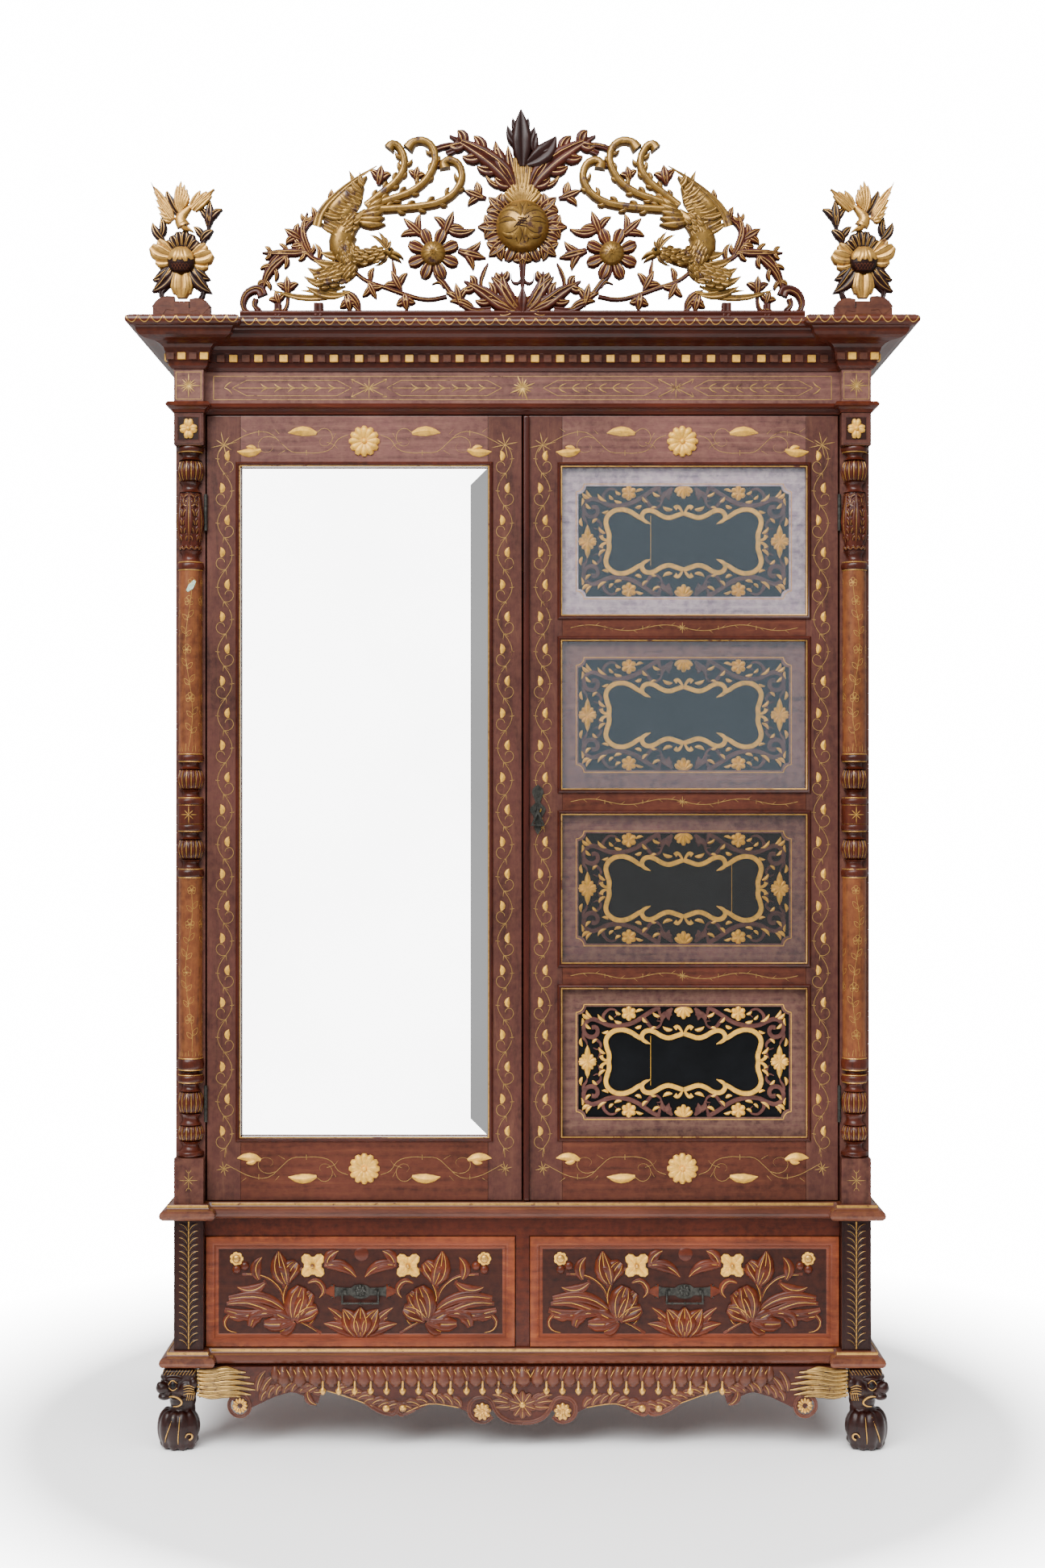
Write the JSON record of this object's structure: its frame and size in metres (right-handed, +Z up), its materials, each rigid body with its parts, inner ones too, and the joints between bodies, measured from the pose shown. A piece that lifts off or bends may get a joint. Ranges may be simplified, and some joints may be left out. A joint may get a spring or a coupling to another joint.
{
  "type": "armoire",
  "caption": "Tall double-door armoire with a mirrored door, a panelled fretwork door, low drawers, turned columns and a pierced gilt crest.",
  "frame": {"origin": "on the floor under the middle of the cornice's outline", "axes": "+Z up, the doors face -Y, +X to the viewer's right"},
  "size_m": [1.498, 0.6144, 2.5703],
  "materials": {
    "polished_wood": "red-brown mahogany, french polished",
    "dark_carved_wood": "dark stained and carved, with worn gilt lines",
    "plain_inner_wood": "plain unpolished secondary wood",
    "gilt_wood": "carved wood with worn gold leaf",
    "mirror": "bevelled silvered plate",
    "clear_glass": "clear window glass",
    "black_board": "black stained backboard",
    "black_iron": "blackened iron, worn"
  },
  "bodies": {
    "carcass": {"apron_front": "dark_carved_wood", "apron_left": "polished_wood", "apron_right": "polished_wood", "back_panel": "plain_inner_wood", "base_moulding": "polished_wood", "case_back": "plain_inner_wood", "case_side_left": "plain_inner_wood", "case_side_right": "plain_inner_wood", "column_left": "polished_wood", "column_right": "polished_wood", "cornice": "polished_wood", "crest": "gilt_wood", "face_frame": "polished_wood", "finial_left": "gilt_wood", "finial_right": "gilt_wood", "frieze_frame": "polished_wood", "hanging_rail": "plain_inner_wood", "hat_shelf": "plain_inner_wood", "hinge_left_lower_frame_leaf": "black_iron", "hinge_left_upper_frame_leaf": "black_iron", "hinge_right_lower_frame_leaf": "black_iron", "hinge_right_upper_frame_leaf": "black_iron", "leg_front_left": "dark_carved_wood", "leg_front_right": "dark_carved_wood", "leg_rear_left": "dark_carved_wood", "leg_rear_right": "dark_carved_wood", "pilaster_left": "dark_carved_wood", "pilaster_right": "dark_carved_wood", "post_left": "polished_wood", "post_right": "polished_wood", "side_panel_left": "polished_wood", "side_panel_right": "polished_wood", "top_moulding": "polished_wood", "waist_moulding": "polished_wood"},
    "left_door": {"left_door_frame": "polished_wood", "mirror_plate": "mirror", "mirror_backboard": "plain_inner_wood", "hinge_left_lower_door_leaf": "black_iron", "hinge_left_upper_door_leaf": "black_iron"},
    "right_door": {"right_door_frame": "polished_wood", "glass_pane_1": "clear_glass", "glass_pane_2": "clear_glass", "glass_pane_3": "clear_glass", "fret_panel_1": "polished_wood", "fret_panel_2": "polished_wood", "fret_panel_3": "polished_wood", "fret_panel_4": "polished_wood", "right_door_backboard": "black_board", "door_pull_plate": "black_iron", "hinge_right_lower_door_leaf": "black_iron", "hinge_right_upper_door_leaf": "black_iron"},
    "door_pull": {"door_drop_pull": "black_iron"},
    "left_drawer": {"drawer_front_left": "polished_wood", "drawer_tray_left": "plain_inner_wood", "drawer_pull_plate_left": "black_iron"},
    "right_drawer": {"drawer_front_right": "polished_wood", "drawer_tray_right": "plain_inner_wood", "drawer_pull_plate_right": "black_iron"},
    "left_bail": {"drawer_bail_left": "black_iron"},
    "right_bail": {"drawer_bail_right": "black_iron"}
  },
  "joints": [
    {"name": "left_door_hinge", "type": "hinge", "parent": "carcass", "child": "left_door", "pos_m": [-0.6104, -0.20495, 0.47], "axis": [0, 0, -1], "range_deg": [0, 100]},
    {"name": "right_door_hinge", "type": "hinge", "parent": "carcass", "child": "right_door", "pos_m": [0.6104, -0.20495, 0.47], "axis": [0, 0, 1], "range_deg": [0, 100]},
    {"name": "door_pull_swing", "type": "hinge", "parent": "right_door", "child": "door_pull", "pos_m": [0.0295, -0.20955, 1.2265], "axis": [-1, 0, 0], "range_deg": [0, 80]},
    {"name": "left_drawer_slide", "type": "slide", "parent": "carcass", "child": "left_drawer", "axis": [0, -1, 0], "range_m": [0, 0.36]},
    {"name": "right_drawer_slide", "type": "slide", "parent": "carcass", "child": "right_drawer", "axis": [0, -1, 0], "range_m": [0, 0.36]},
    {"name": "left_bail_swing", "type": "hinge", "parent": "left_drawer", "child": "left_bail", "pos_m": [-0.3125, -0.20805, 0.2945], "axis": [-1, 0, 0], "range_deg": [0, 85]},
    {"name": "right_bail_swing", "type": "hinge", "parent": "right_drawer", "child": "right_bail", "pos_m": [0.3125, -0.20805, 0.2945], "axis": [-1, 0, 0], "range_deg": [0, 85]}
  ]
}
